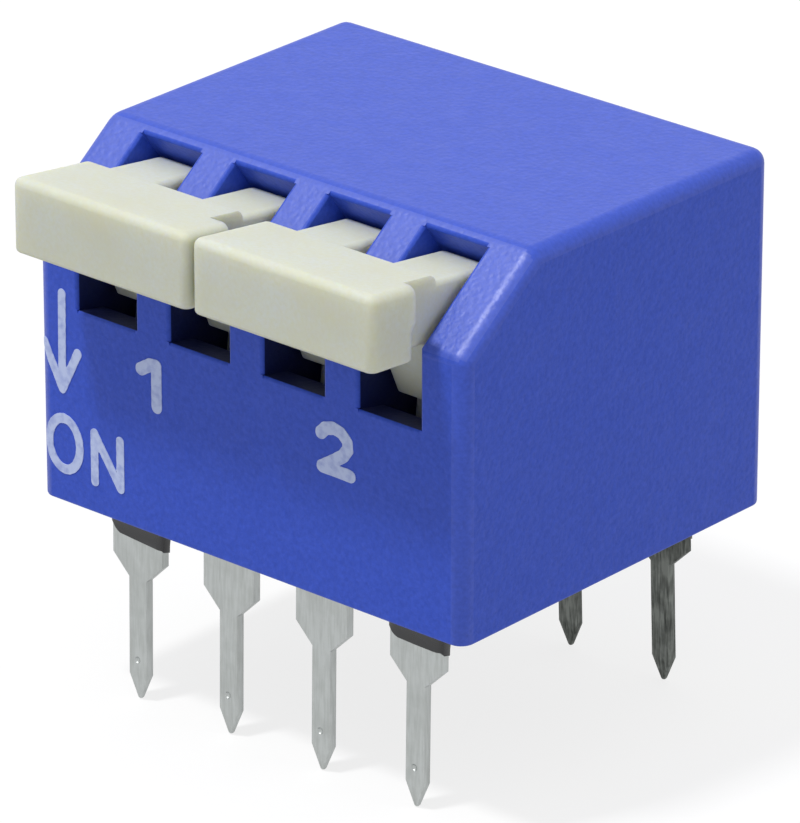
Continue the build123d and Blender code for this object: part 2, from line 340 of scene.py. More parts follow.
def finish_piece(piece, name, finish, body, nodes=()):
    """Turns a piece to metres, shades it and ties it to the frame."""
    piece.name = piece.data.name = name
    piece.data.transform(Matrix.Scale(MM, 4))
    piece.data.shade_smooth()
    piece.data.set_sharp_from_angle(angle=SHARP)
    weigh = piece.modifiers.new("Even shading", "WEIGHTED_NORMAL")
    weigh.keep_sharp = True
    piece.data.materials.clear()
    piece.data.materials.append(finish)
    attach(piece, body)
    if nodes:
        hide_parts(*nodes)
    return piece


# Materials

def connect(tree, node, inputs):
    """Sets or links a node's inputs."""
    for key, value in inputs.items():
        if isinstance(value, bpy.types.NodeSocket):
            tree.links.new(value, node.inputs[key])
        else:
            node.inputs[key].default_value = value


def add(tree, kind, inputs=None, **settings):
    """Adds a node with its settings, and sets or links its inputs."""
    new = tree.nodes.new(kind)
    for key, value in settings.items():
        setattr(new, key, value)
    connect(tree, new, inputs or {})
    return new


def noise(tree, place, grain, detail, roughness=0.5):
    """A noise whose grains are this many millimetres wide."""
    return add(tree, "ShaderNodeTexNoise", {"Vector": place, "Scale": 1 / (grain * MM), "Detail": detail,
                                            "Roughness": roughness}).outputs["Fac"]


def stretched(tree, place, x, y, z):
    """Coordinates that draw a pattern out along the axes with small factors."""
    return add(tree, "ShaderNodeMapping", {"Vector": place, "Scale": (x, y, z)}).outputs["Vector"]


def ranged(tree, value, start, stop, low=0.0, high=1.0):
    """A value turned from low..high to start..stop."""
    return add(tree, "ShaderNodeMapRange", {"Value": value, "From Min": low, "From Max": high,
                                            "To Min": start, "To Max": stop}).outputs["Result"]


def worked(tree, how, one, two):
    """A sum, product or the like of two values."""
    return add(tree, "ShaderNodeMath", {0: one, 1: two}, operation=how).outputs["Value"]


def mixed(tree, share, one, two):
    """A colour between two others."""
    return add(tree, "ShaderNodeMix", {"Factor": share, "A": one, "B": two},
               data_type="RGBA").outputs["Result"]


def bumped(tree, height, strength, depth):
    """A relief this many millimetres deep."""
    return add(tree, "ShaderNodeBump", {"Height": height, "Strength": strength,
                                        "Distance": depth * MM}).outputs["Normal"]


def marked(tree, name):
    """Where the mesh carries a mark."""
    return add(tree, "ShaderNodeAttribute", attribute_name=name).outputs["Fac"]


def rgba(value):
    return (*value, 1.0)


def new_material(name):
    """A material with a Principled shader, its node tree and the object's own coordinates."""
    made = bpy.data.materials.new(name)
    made.use_nodes = True
    tree = made.node_tree
    place = add(tree, "ShaderNodeTexCoord").outputs["Object"]
    return made, tree, tree.nodes["Principled BSDF"], place


def moulded_blue(c):
    """PBT moulded in a spark-textured tool: a satin blue with a fine grain that breaks every highlight
    into specks. The slope and the edges, where the tool's texture is worn, and every face seen at a flat
    angle show a paler sheen. Low down inside the slots the blue is painted darker, to navy, as painted shade."""
    made, tree, shader, place = new_material("pbt_blue_spark_textured")
    grain = noise(tree, place, 0.10, 3.0, 0.6)
    pits = add(tree, "ShaderNodeTexVoronoi", {"Vector": place, "Scale": 1 / (0.12 * MM), "Randomness": 1.0},
               feature="SMOOTH_F1").outputs["Distance"]
    cloud = noise(tree, place, 0.5, 4.0)
    tone = mixed(tree, ranged(tree, grain, 0, 1, 0.3, 0.7), rgba(c.body_deep), rgba(c.body))
    height = add(tree, "ShaderNodeSeparateXYZ", {"Vector": place}).outputs["Z"]
    low_down = ranged(tree, height, 0, 1, 6.5 * MM, 5.7 * MM)
    # Painted shade: faces inside the slots turn to a dark navy lower down
    painted_slot_shade = worked(tree, "MULTIPLY", marked(tree, "inside"), low_down)
    worn = marked(tree, "worn")
    uneven = worked(tree, "MULTIPLY", cloud, 0.16)
    flat = add(tree, "ShaderNodeLayerWeight", {"Blend": 0.5}).outputs["Facing"]
    sheen = ranged(tree, flat, 0.30, 0.72, 0.42, 0.62)
    relief = worked(tree, "ADD", grain, pits)
    connect(tree, shader, {
        "Base Color": mixed(tree, painted_slot_shade, tone, rgba(c.body_inside)),
        "Roughness": worked(tree, "ADD", ranged(tree, worn, 0.42, 0.38), uneven),
        "Specular IOR Level": ranged(tree, worn, sheen, 0.95),
        "Normal": bumped(tree, relief, 0.45, 0.02),
        "IOR": 1.5})
    return made


def moulded_cream(c):
    """Acetal moulded in a polished tool: a cream that lets a little light in, so that edges glow and deep
    places turn warm, under a soft sheen."""
    made, tree, shader, place = new_material("acetal_cream_moulded")
    cloud = noise(tree, place, 1.3, 3.0)
    speck = noise(tree, place, 0.09, 2.0)
    pale = ranged(tree, worked(tree, "MULTIPLY", cloud, speck), 0, 1, 0.12, 0.42)
    connect(tree, shader, {
        "Base Color": mixed(tree, pale, rgba(c.lever_warm), rgba(c.lever)),
        "Roughness": ranged(tree, cloud, 0.50, 0.62),
        "Normal": bumped(tree, speck, 0.25, 0.01),
        "IOR": 1.48,
        "Specular IOR Level": 0.30,
        "Subsurface Weight": 0.70,
        "Subsurface Radius": (1.0, 0.85, 0.35),
        "Subsurface Scale": 0.9 * MM})
    return made


def tinned(c, painted_shade_row):
    """Tin-plated brass strip, stamped: a soft grey metal with drawing streaks along each blade and dull
    patches from handling. The rear row is rougher and drawn in darker greys all over: the darker greys are
    painted shade."""
    name = "tin_plated_strip_dulled" if painted_shade_row else "tin_plated_strip_stamped"
    made, tree, shader, place = new_material(name)
    # Painted shade: the rear row takes darker greys than the front row
    bright, dark = (c.tin_worn, c.tin_dark) if painted_shade_row else (c.tin, c.tin_dull)
    smooth, rough = (0.50, 0.72) if painted_shade_row else (0.30, 0.50)
    streak = noise(tree, stretched(tree, place, 1.0, 1.0, 0.09), 0.05, 3.0)
    patch = noise(tree, place, 0.6, 5.0, 0.6)
    share = ranged(tree, worked(tree, "MULTIPLY", streak, patch), 0, 1, 0.12, 0.36)
    connect(tree, shader, {
        "Base Color": mixed(tree, share, rgba(dark), rgba(bright)),
        "Roughness": ranged(tree, patch, smooth, rough),
        "Normal": bumped(tree, streak, 0.07, 0.01),
        "Metallic": 1.0})
    return made


def cast_resin(c):
    """Black epoxy, poured and left to level: nearly mirror smooth, with faint dust pits."""
    made, tree, shader, place = new_material("epoxy_black_cast")
    pit = noise(tree, place, 0.25, 3.0)
    connect(tree, shader, {
        "Base Color": mixed(tree, pit, rgba(c.resin), rgba(c.base)),
        "Roughness": ranged(tree, pit, 0.16, 0.42),
        "Normal": bumped(tree, pit, 0.2, 0.02),
        "IOR": 1.55})
    return made


def moulded_black(c):
    """PBT, glass filled and moulded: a matt black with a fine grain."""
    made, tree, shader, place = new_material("pbt_black_moulded")
    grain = noise(tree, place, 0.10, 3.0)
    connect(tree, shader, {
        "Base Color": mixed(tree, grain, rgba(c.resin), rgba(c.base)),
        "Roughness": 0.55,
        "Normal": bumped(tree, grain, 0.3, 0.02)})
    return made


def gold_flashed(c):
    """Copper-alloy spring strip with a gold flash: a warm metal with rolling streaks across the strip."""
    made, tree, shader, place = new_material("gold_flashed_spring_strip")
    streak = noise(tree, stretched(tree, place, 0.1, 1.0, 1.0), 0.06, 2.0)
    connect(tree, shader, {
        "Base Color": rgba(c.gold),
        "Roughness": ranged(tree, streak, 0.2, 0.4),
        "Metallic": 1.0})
    return made


def printed_ink(c):
    """Pale ink, pad printed: a flat film that is thin in places, so that the blue shows through."""
    made, tree, shader, place = new_material("ink_pale_pad_printed")
    film = noise(tree, place, 0.16, 3.0)
    thick = ranged(tree, film, 0, 1, 0.25, 0.55)
    connect(tree, shader, {
        "Base Color": mixed(tree, thick, rgba(c.ink_thin), rgba(c.ink)),
        "Roughness": ranged(tree, film, 0.45, 0.65)})
    return made


def seen(tree):
    """1 for rays from the camera, in reflections and through clear parts."""
    path = add(tree, "ShaderNodeLightPath").outputs
    direct = worked(tree, "MAXIMUM", path["Is Camera Ray"], path["Is Glossy Ray"])
    return worked(tree, "MAXIMUM", direct, path["Is Transmission Ray"])


def paper_white(c, share):
    """Matt white paper: it bounces a soft grey light, and is seen as nearly plain white."""
    made, tree, shader, place = new_material("paper_white_matt")
    shown = seen(tree)
    connect(tree, shader, {
        "Base Color": mixed(tree, shown, rgba(c.paper_bounce), rgba(c.paper)),
        "Roughness": 0.9,
        "Normal": bumped(tree, noise(tree, place, 0.2, 2.0), 0.05, 0.02),
        "Specular IOR Level": 0.0})
    plain = add(tree, "ShaderNodeEmission", {"Color": rgba(c.paper), "Strength": 1.0})
    both = add(tree, "ShaderNodeMixShader", {0: worked(tree, "MULTIPLY", shown, share),
                                             1: shader.outputs["BSDF"], 2: plain.outputs["Emission"]})
    connect(tree, tree.nodes["Material Output"], {"Surface": both.outputs["Shader"]})
    return made


def white_room(level):
    """A world that lights evenly from all sides, and is seen as plain white."""
    world = bpy.data.worlds.new("soft_white_room")
    world.use_nodes = True
    tree = world.node_tree
    white = (1.0, 1.0, 1.0, 1.0)
    light = tree.nodes["Background"]
    connect(tree, light, {"Color": white, "Strength": level})
    plain = add(tree, "ShaderNodeBackground", {"Color": white, "Strength": 1.0})
    both = add(tree, "ShaderNodeMixShader", {0: seen(tree), 1: light.outputs["Background"],
                                             2: plain.outputs["Background"]})
    connect(tree, tree.nodes["World Output"], {"Surface": both.outputs["Shader"]})
    return world


# Shapes

def body_outline():
    """Sizes that several pieces share, in millimetres: the cover's box, slope and pivot."""
    scene = bpy.context.scene
    b, v = in_mm(scene.dip_body), in_mm(scene.dip_lever)
    low, high = (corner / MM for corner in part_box("cover"))
    run = math.hypot(b.slant_depth, b.slant_drop)
    up = (b.slant_depth / run, b.slant_drop / run)
    top = (low.y + b.slant_depth, high.z)
    s = SimpleNamespace(half=high.x, front=low.y, rear=high.y, height=high.z, up=up, slant_top=top,
                        foot=high.z - b.slant_drop, ceiling=high.z - b.roof,
                        slot_end=(top[0] - b.slot_lip * up[0], top[1] - b.slot_lip * up[1]),
                        slots=[(i - 1.5) * b.pitch for i in range(4)],
                        pivot=(low.y + v.pivot_setback, high.z - v.pivot_drop))
    s.end_depth = (s.slot_end[1] - s.ceiling) / up[0]
    return b, v, s


def up_slope(s, point, along, inward):
    """A (y, z) point moved along the slope and then square to it, into the body."""
    return (point[0] + along * s.up[0] + inward * s.up[1], point[1] + along * s.up[1] - inward * s.up[0])


def arc(centre, radius, start, stop, steps):
    """Points on an arc, its angles in radians from the +Y direction."""
    return [(centre[0] + radius * math.cos(a), centre[1] + radius * math.sin(a))
            for a in (start + (stop - start) * i / steps for i in range(steps + 1))]


def rounded_block(b, s):
    """The cover's outside: a block with a slope, rounded along its edges."""
    side = [(s.front, 0), (s.rear, 0), (s.rear, s.height), s.slant_top, (s.front, s.foot)]
    bm = prism(side, -s.half, s.half)
    round_edges(bm, b.slope_radius, 5, lambda e: extent(e, "x")[1] > extent(e, "x")[0] + s.half
                and 1 < turn(e) < 80)
    round_edges(bm, b.side_radius, 7, lambda e: turn(e) > 60 and extent(e, "z")[1] > NEAR
                and (at_side(e) or extent(e, "y")[0] > s.rear - NEAR))
    round_edges(bm, b.edge_radius, 2, lambda e: turn(e) > 60 and extent(e, "z")[1] < NEAR)
    mark = bm.faces.layers.float["worn"]
    for f in bm.faces:
        if f.normal.y < -0.4 and f.normal.z > 0.4:
            f[mark] = 1.0
    return to_object(bm, "cover")


def cut_insides(cover, b, s):
    """The slots with their bays, the notches for the trunnions and the pocket for the base."""
    far = 3 * s.half
    w, inner = b.slot_width / 2, s.half - b.rim
    wall_front, wall_rear = s.front + b.end_wall, s.rear - b.end_wall
    slot = [(s.front - far, b.slot_floor), (s.front, b.slot_floor), (wall_front, b.slot_floor - b.floor_fall),
            (wall_front, -far), (wall_rear, -far), (wall_rear, s.ceiling),
            up_slope(s, s.slot_end, 0, s.end_depth), up_slope(s, s.slot_end, 0, -far),
            (s.front - far, s.height + far)]
    for x in s.slots:
        combine(cover, prism(slot, x - w, x + w), "DIFFERENCE")
    notch = arc(s.pivot, b.notch_half, 0, math.pi, 12)
    notch += [(s.pivot[0] - b.notch_half, b.notch_foot), (s.pivot[0] + b.notch_half, b.notch_foot)]
    combine(cover, prism(notch, -b.notch_reach, b.notch_reach), "DIFFERENCE")
    pocket = [(s.front + b.rim, -far), (s.rear - b.rim, -far), (s.rear - b.rim, b.base_top),
              (s.front + b.rim, b.base_top)]
    combine(cover, prism(pocket, -inner, inner), "DIFFERENCE")


def roll_lips(cover, b, s):
    """Rounds each slot's lips: down the slope, down the front wall, at the upper end and at the floor."""
    w, r = b.slot_width / 2, b.lip_radius
    steps = 4
    bend = [(r * (1 - math.sin(t)) - WIDE_HAIR, r * (1 - math.cos(t)) - HAIR)
            for t in (math.pi / 2 * i / steps for i in range(steps + 1))]
    flare = [(w + out, deep) for out, deep in bend]
    section = [(w + r, -BEYOND)] + flare + [(-u, deep) for u, deep in reversed(flare)] + [(-w - r, -BEYOND)]
    down = math.hypot(b.slant_depth, b.slant_drop) + BEYOND
    below, above = -3 * r, b.slot_floor + 2 * r
    upper = [up_slope(s, s.slot_end, along, deep)
             for along, deep in [(below, -BEYOND), (r, -BEYOND)] + bend + [(below, r)]]
    lower = [(s.front - BEYOND, above), (s.front - BEYOND, b.slot_floor - r)]
    lower += [(s.front + deep, b.slot_floor - out) for out, deep in bend] + [(s.front + r, above)]
    for x in s.slots:
        combine(cover, bridge(*[[(x + u, *up_slope(s, s.slot_end, along, deep)) for u, deep in section]
                                for along in (-NEAR, -down)]), "DIFFERENCE")
        combine(cover, bridge(*[[(x + u, s.front + deep, z) for u, deep in section]
                                for z in (b.slot_floor + NEAR, s.foot + BEYOND)]), "DIFFERENCE")
        for outline in (upper, lower):
            combine(cover, prism(outline, x - w + HAIR, x + w - HAIR), "DIFFERENCE")


def draw_cover():
    """The blue moulding, its faces marked where they are worn and where they lie inside the slots."""
    b, _, s = body_outline()
    cover = rounded_block(b, s)
    cut_insides(cover, b, s)
    roll_lips(cover, b, s)

    def mark_inside(bm):
        """Marks what lies in the slots and bays, below the rolled lips and above the base, where the blue is
        painted darker as shade.
        """
        mark = bm.faces.layers.float.new("inside")
        for f in bm.faces:
            x, y, z = f.calc_center_median()
            near = any(abs(x - slot) < b.slot_width / 2 + NEAR for slot in s.slots)
            deep = (s.slot_end[0] - y) * -s.up[1] + (s.slot_end[1] - z) * s.up[0]
            if near and z > b.dark_foot and y > s.front + b.lip_radius and deep > 1.2 * b.lip_radius:
                f[mark] = 1.0

    return merge_flats(cover, mark_inside)


def lever_top(v, s, y):
    """Height of a raised lever's top face."""
    return s.slot_end[1] - v.arm_drop + (s.slot_end[0] - y) * math.tan(v.top_tilt)


def bar_under(v, s, y):
    """Height of a raised bar's underside."""
    front = s.front - v.bar_reach
    return lever_top(v, s, front) - v.bar_height + (front - y) * math.tan(v.under_tilt)


def draw_bar(b, v, s, index):
    """A bar with its shelf, which ends at the last arm's side."""
    front = s.front - v.bar_reach
    rear = front + v.bar_depth
    shelf = rear + v.shelf_reach
    size = 2 * b.pitch - v.bar_short
    middle = (index - 0.5) * (size + v.bar_gap)
    left, right = middle - size / 2, middle + size / 2
    bm = prism([(front, lever_top(v, s, front)), (shelf, lever_top(v, s, shelf)),
                (shelf, lever_top(v, s, shelf) - v.shelf_edge), (rear, lever_top(v, s, rear) - v.shelf_root),
                (rear, bar_under(v, s, rear)), (front, bar_under(v, s, front))], left, right)
    foot = bar_under(v, s, front) + v.foot_zone
    round_edges(bm, v.bar_radius, 6, lambda e: extent(e, "z")[1] > foot and abs(turn(e)) > 20)
    round_edges(bm, v.foot_radius, 3, lambda e: extent(e, "z")[1] < foot and turn(e) > 60)
    lever = to_object(bm, "lever")
    last_side = s.slots[2 * index + 1] + b.slot_width / 2 - v.arm_clear
    cut = [(rear, 0), (s.rear, 0), (s.rear, 2 * s.height), (rear, 2 * s.height)]
    combine(lever, prism(cut, last_side, right + BEYOND), "DIFFERENCE")
    return lever


def arm_outline(v, s):
    """Side view of an arm, from inside the bar to its upper end, around the boss and along the web."""
    tilt, web = math.tan(v.top_tilt), v.web_angle
    back = (v.arm_drop + v.arm_sink - v.back_clear * (s.up[1] + s.up[0] * tilt)) / (s.up[0] - s.up[1] * tilt)
    tangent = (s.pivot[0] - v.boss_radius * math.sin(web), s.pivot[1] - v.boss_radius * math.cos(web))
    start, root = s.front - v.bar_reach + v.bar_depth / 2, s.front + v.web_setback
    corner = (root + v.web_rake, tangent[1] + (tangent[0] - root - v.web_rake) * math.tan(web))
    return ([(start, lever_top(v, s, start) - v.arm_sink), up_slope(s, s.slot_end, -v.back_clear, back),
             up_slope(s, s.slot_end, -v.back_clear, s.end_depth)]
            + arc(s.pivot, v.boss_radius, 0, -math.pi / 2 - web, 16)[:-1]
            + [tangent, corner, (root, bar_under(v, s, root) + v.arm_step),
               (start, bar_under(v, s, start) + v.arm_step)])


def draw_lever(index):
    """A cream lever: a bar over two arms, each with a boss, a heel and two trunnions."""
    b, v, s = body_outline()
    lever = draw_bar(b, v, s, index)
    half = b.slot_width / 2 - v.arm_clear
    arm_top = s.height - v.arm_zone
    lean = v.heel_lean

    def at_heel(along, across):
        return (s.pivot[0] - along * math.sin(lean) + across * math.cos(lean),
                s.pivot[1] - along * math.cos(lean) - across * math.sin(lean))

    heel = [at_heel(0, -v.heel_width / 2), at_heel(0, v.heel_width / 2),
            at_heel(v.heel_length, v.heel_width / 2), at_heel(v.heel_length, -v.heel_width / 2)]
    facets = 24
    trunnion = arc(s.pivot, v.trunnion_radius, 0, 2 * math.pi * (facets - 1) / facets, facets - 1)
    for x in s.slots[2 * index:2 * index + 2]:
        arm = round_edges(prism(arm_outline(v, s), x - half, x + half), v.arm_radius, 4,
                          lambda e: turn(e) > 40 and (at_side(e) or extent(e, "z")[0] > arm_top))
        combine(lever, arm, "UNION")
        combine(lever, prism(heel, x - half, x + half), "UNION")
        end = half + v.trunnion_length
        combine(lever, prism(trunnion, x - end, x + end), "UNION")
    return merge_flats(lever)


def draw_terminal(x, side):
    """A blade with rolled-over edges, a coined point and a dimple, and the contact rail at its top."""
    b, _, s = body_outline()
    t = in_mm(bpy.context.scene.dip_terminal)
    splay = math.tan(t.rear_splay if side > 0 else t.front_splay)
    middle = side * b.row_spacing / 2

    def place(u, across, z):
        return (x + u, middle + side * (across + max(0, -z) * splay), z)

    half = [(t.shoulder_width / 2, b.base_top), (t.shoulder_width / 2, 0),
            (t.shoulder_width / 2, -t.shoulder_end), (t.leg_width / 2, -t.neck_end),
            (t.leg_width / 2, -t.tip_start), (t.tip_width / 2, -t.reach)]
    outline = [(u, z, t.tip_thickness if z == -t.reach else t.thickness)
               for u, z in half + [(-u, z) for u, z in reversed(half)]]
    bm = bmesh.new()
    skins = [[bm.verts.new(place(u, face * thick / 2, z)) for u, z, thick in outline] for face in (-1, 1)]
    n = len(outline)
    for skin in skins:
        for i in range(n // 2 - 1):
            bm.faces.new((skin[i], skin[i + 1], skin[n - 2 - i], skin[n - 1 - i]))
    for i in range(n):
        j = (i + 1) % n
        bm.faces.new((skins[0][i], skins[0][j], skins[1][j], skins[1][i]))
    bmesh.ops.recalc_face_normals(bm, faces=bm.faces[:])
    round_edges(bm, t.edge_radius, 2, lambda e: turn(e) > 60 and extent(e, "z")[1] < b.base_top - NEAR)
    blade = to_object(bm, "blade")
    near, far = sorted((middle, s.pivot[0] + (t.rail_past if side < 0 else 0.0)))
    under = b.base_top - t.thickness
    rail = [(near, under), (far, under), (far, b.base_top), (near, b.base_top)]
    centre = x + side * t.rail_shift
    combine(blade, prism(rail, centre - t.rail_width / 2, centre + t.rail_width / 2), "UNION")
    ball = bmesh.new()
    radius = (t.dimple_radius ** 2 + t.dimple_depth ** 2) / (2 * t.dimple_depth)
    bmesh.ops.create_icosphere(ball, subdivisions=4, radius=radius)
    centre = place(0, t.thickness / 2 + radius - t.dimple_depth, -t.dimple_drop)
    bmesh.ops.translate(ball, vec=centre, verts=ball.verts[:])
    combine(blade, ball, "DIFFERENCE")
    return blade


def thicken(bm):
    """Extrudes all faces and gives the points of the new layer."""
    made = bmesh.ops.extrude_face_region(bm, geom=bm.faces[:])
    return [part for part in made["geom"] if isinstance(part, bmesh.types.BMVert)]


# How far the resin has crept down each terminal: at its left and its right, in millimetres
CREEP = {-1: ((0.55, 0.89), (0.14, 0.18), (0.28, 0.42), (0.60, 0.83)),
         1: ((0.70, 0.82), (0.60, 0.86), (0.74, 0.66), (0.62, 0.90))}


def draw_meniscus(x, side, left, right):
    """Resin around a terminal, in rings from inside the layer down to its lower edge."""
    b = in_mm(bpy.context.scene.dip_body)
    q, t = in_mm(bpy.context.scene.dip_seal), in_mm(bpy.context.scene.dip_terminal)
    splay = math.tan(t.rear_splay if side > 0 else t.front_splay)
    start = q.recess + q.root
    around, rows = 40, 7
    square, hollow = 0.25, 2.4      # how square the rings are, and how fast they narrow
    bm = bmesh.new()
    rings = []
    for row in range(rows + 1):
        share = row / rows
        grow = q.film + q.spread * (1 - share) ** hollow
        rings.append([])
        for k in range(around):
            a = 2 * math.pi * k / around
            u, v = math.cos(a), math.sin(a)
            drop = (left + right) / 2 + (right - left) / 2 * u + q.ripple * math.sin(3 * a + 5 * x)
            px = math.copysign(abs(u) ** square, u) * (t.shoulder_width / 2 + grow)
            py = math.copysign(abs(v) ** square, v) * (t.thickness / 2 + grow)
            z = start - (drop + start) * share
            middle = side * (b.row_spacing / 2 + max(0, -z) * splay)
            rings[-1].append(bm.verts.new((x + px, middle + py, z)))
    for one, two in zip(rings, rings[1:]):
        for k in range(around):
            m = (k + 1) % around
            bm.faces.new((one[k], one[m], two[m], two[k]))
    bm.faces.new(rings[0][::-1])
    bm.faces.new(rings[-1])
    bmesh.ops.recalc_face_normals(bm, faces=bm.faces[:])
    return bm


def draw_seal():
    """The poured layer, its lower face a little uneven, with a meniscus around each terminal."""
    b, _, s = body_outline()
    q = in_mm(bpy.context.scene.dip_seal)
    halves = (s.half - b.rim, s.rear - b.rim)
    across, deep = 56, 46
    bm = bmesh.new()
    grid = [[bm.verts.new((halves[0] * (2 * i / across - 1), halves[1] * (2 * j / deep - 1), 0))
             for j in range(deep + 1)] for i in range(across + 1)]
    for v in bm.verts:
        swell = math.sin(1.7 * v.co.x + 0.6) * math.sin(1.3 * v.co.y + 1.1 * math.sin(v.co.x))
        v.co.z = q.recess + q.wave * (0.5 + 0.5 * swell)
    for i in range(across):
        for j in range(deep):
            bm.faces.new((grid[i][j], grid[i][j + 1], grid[i + 1][j + 1], grid[i + 1][j]))
    for v in thicken(bm):
        v.co.z = q.top
    bmesh.ops.recalc_face_normals(bm, faces=bm.faces[:])
    seal = to_object(bm, "seal")
    for side in (-1, 1):
        for x, (left, right) in zip(s.slots, CREEP[side]):
            combine(seal, draw_meniscus(x, side, left, right), "UNION")
    return seal


# Strokes of the printed marks: points across and up the front face, in millimetres
MARKS = {
    "print_arrow": ("thin", [[(-5.04, 4.66), (-5.07, 2.62)], [(-5.55, 3.46), (-5.07, 2.55), (-4.62, 3.44)]]),
    "print_letter_o": ("thin", [[(-5.035 + 0.43 * math.cos(i * math.pi / 12),
                                  1.32 + 0.57 * math.sin(i * math.pi / 12)) for i in range(25)]]),
    "print_letter_n": ("thin", [[(-4.19, 0.72), (-4.19, 1.80), (-3.47, 0.76), (-3.47, 1.82)]]),
    "print_numeral_1": ("bold", [[(-2.86, 3.61), (-2.60, 3.77), (-2.43, 3.79), (-2.43, 2.88)]]),
    "print_numeral_2": ("bold", [[(2.02, 3.62), (2.15, 3.75), (2.35, 3.81), (2.57, 3.76), (2.72, 3.62),
                                  (2.74, 3.46), (2.62, 3.28), (2.38, 3.11), (2.05, 2.90), (2.42, 2.90),
                                  (2.80, 2.89)]]),
}


def ink_depth(points, ends, half):
    """How far inside the ink of some strokes points lie, with an unsteady edge."""
    unsteady = 0.004
    best = np.full(len(points), -np.inf)
    for a, c in ends:
        along = np.clip(((points - a) @ (c - a)) / ((c - a) @ (c - a)), 0, 1)
        best = np.maximum(best, half - np.linalg.norm(points - a - along[:, None] * (c - a), axis=1))
    return best + unsteady * np.sin(23 * points[:, 0] + 2) * np.sin(27 * points[:, 1] + 1)


def ink_cells(ends, half, size):
    """The grid cells that the ink covers and their corners, the outermost moved onto its outline."""
    points = ends.reshape(-1, 2)
    low, high = points.min(0) - 2 * half, points.max(0) + 2 * half
    count = np.ceil((high - low) / size).astype(int)
    cells = [(i, j) for i in range(count[0]) for j in range(count[1])]
    inside = ink_depth(low + (np.array(cells) + 0.5) * size, ends, half) > 0
    picked = [cell for cell, covered in zip(cells, inside) if covered]
    corners = sorted({(i + a, j + c) for i, j in picked for a in (0, 1) for c in (0, 1)})
    kept = set(picked)
    rim = np.array([not all((i - a, j - c) in kept for a in (0, 1) for c in (0, 1)) for i, j in corners])
    at = low + np.array(corners, float) * size
    step, gentlest = 1e-3, 0.3
    for _ in range(4):
        value = ink_depth(at, ends, half)
        slope = np.stack([(ink_depth(at + shift, ends, half) - value) / step
                          for shift in ((step, 0), (0, step))], 1)
        steep = np.maximum((slope ** 2).sum(1, keepdims=True), gentlest)
        at = np.where(rim[:, None], at - value[:, None] * slope / steep, at)
    return picked, dict(zip(corners, at))


def draw_mark(weight, strokes):
    """A film of ink on the front face, as a pen of the given width leaves it along the strokes."""
    b, _, s = body_outline()
    q = in_mm(bpy.context.scene.dip_print)
    half = (q.thin_stroke if weight == "thin" else q.bold_stroke) / 2
    ends = np.array([(p, r) for line in strokes for p, r in zip(line, line[1:])], float)
    cells, corners = ink_cells(ends, half, q.grid)
    bm = bmesh.new()
    nodes = {}
    for key, (x, z) in corners.items():
        past = max(0.0, abs(x) - (s.half - b.side_radius))
        y = s.front + b.side_radius - math.sqrt(max(b.side_radius ** 2 - past ** 2, 1e-6))
        nodes[key] = bm.verts.new((x, y + q.root, z))
    for i, j in cells:
        bm.faces.new((nodes[i, j], nodes[i + 1, j], nodes[i + 1, j + 1], nodes[i, j + 1]))
    for v in thicken(bm):
        v.co.y -= q.root + q.thickness
    bmesh.ops.recalc_face_normals(bm, faces=bm.faces[:])
    return to_object(bm, "mark")


# Stage

# Lamps: name, turn from the front face and height above the horizon in degrees, distance and size in
# metres, and the light on a face that looks at the lamp
LAMPS = (("key_lamp", -24, 66.3, 0.30, 0.032, 0.60), ("side_lamp", 105, 20, 0.30, 0.10, 0.07))


def direction(azimuth, elevation):
    """The way to a place that lies this turn from the front face and this high above the horizon."""
    return Vector((math.sin(azimuth) * math.cos(elevation), -math.cos(azimuth) * math.cos(elevation),
                   math.sin(elevation)))


# Operators

class DIP_OT_stage(bpy.types.Operator):
    """Camera at the photograph's angle, pale floor and soft studio light"""
    bl_idname = "dip_switch.stage"
    bl_label = "Stage"

    def execute(self, context):
        scene = context.scene
        p, c = scene.dip_stage, scene.dip_colours
        scene.view_settings.view_transform = "Standard"
        back = direction(p.azimuth, p.elevation)
        level = Vector((math.cos(p.azimuth), math.sin(p.azimuth), 0))
        steep = back.cross(level)
        right = level * math.cos(p.roll) + steep * math.sin(p.roll)
        up = steep * math.cos(p.roll) - level * math.sin(p.roll)
        camera = bpy.data.objects.new("camera", bpy.data.cameras.new("camera"))
        scene.collection.objects.link(camera)
        camera.data.sensor_width, camera.data.lens = p.sensor, p.lens
        camera.data.clip_start, camera.data.clip_end = 0.01, 10
        turned = Matrix((right, up, back)).transposed().to_4x4()
        at = back * p.distance - right * p.aim_right + up * p.aim_down
        camera.matrix_world = Matrix.Translation(at) @ turned
        scene.camera = camera

        bm = bmesh.new()
        bmesh.ops.create_grid(bm, x_segments=1, y_segments=1, size=p.floor_size)
        floor = to_object(bm, "floor")
        floor.location.z = min(v.z for v in cad_box) - p.floor_gap
        floor.data.materials.append(paper_white(c, p.floor_glow))
        scene.world = white_room(p.world_level)

        for name, azimuth, elevation, far, size, light in LAMPS:
            way = direction(math.radians(azimuth), math.radians(elevation))
            lamp = bpy.data.objects.new(name, bpy.data.lights.new(name, "AREA"))
            scene.collection.objects.link(lamp)
            lamp.data.size = size
            lamp.data.energy = light * math.pi ** 2 * far ** 2
            turned = way.to_track_quat("Z", "Y").to_matrix().to_4x4()
            lamp.matrix_world = Matrix.Translation(way * far) @ turned
        return {"FINISHED"}


class DIP_OT_cover(bpy.types.Operator):
    """Blue cover with its slope, four slots and soft edges"""
    bl_idname = "dip_switch.cover"
    bl_label = "Cover"

    def execute(self, context):
        finish = moulded_blue(context.scene.dip_colours)
        finish_piece(draw_cover(), "cover_moulding", finish, "housing", ["cover"])
        return {"FINISHED"}


class DIP_OT_levers(bpy.types.Operator):
    """Two cream levers, each a bar with two arms"""
    bl_idname = "dip_switch.levers"
    bl_label = "Levers"

    def execute(self, context):
        finish = moulded_cream(context.scene.dip_colours)
        for index in range(2):
            finish_piece(draw_lever(index), f"lever_moulding_{index + 1}", finish, f"actuator_{index + 1}",
                         [f"lever_{index + 1}"])
        return {"FINISHED"}


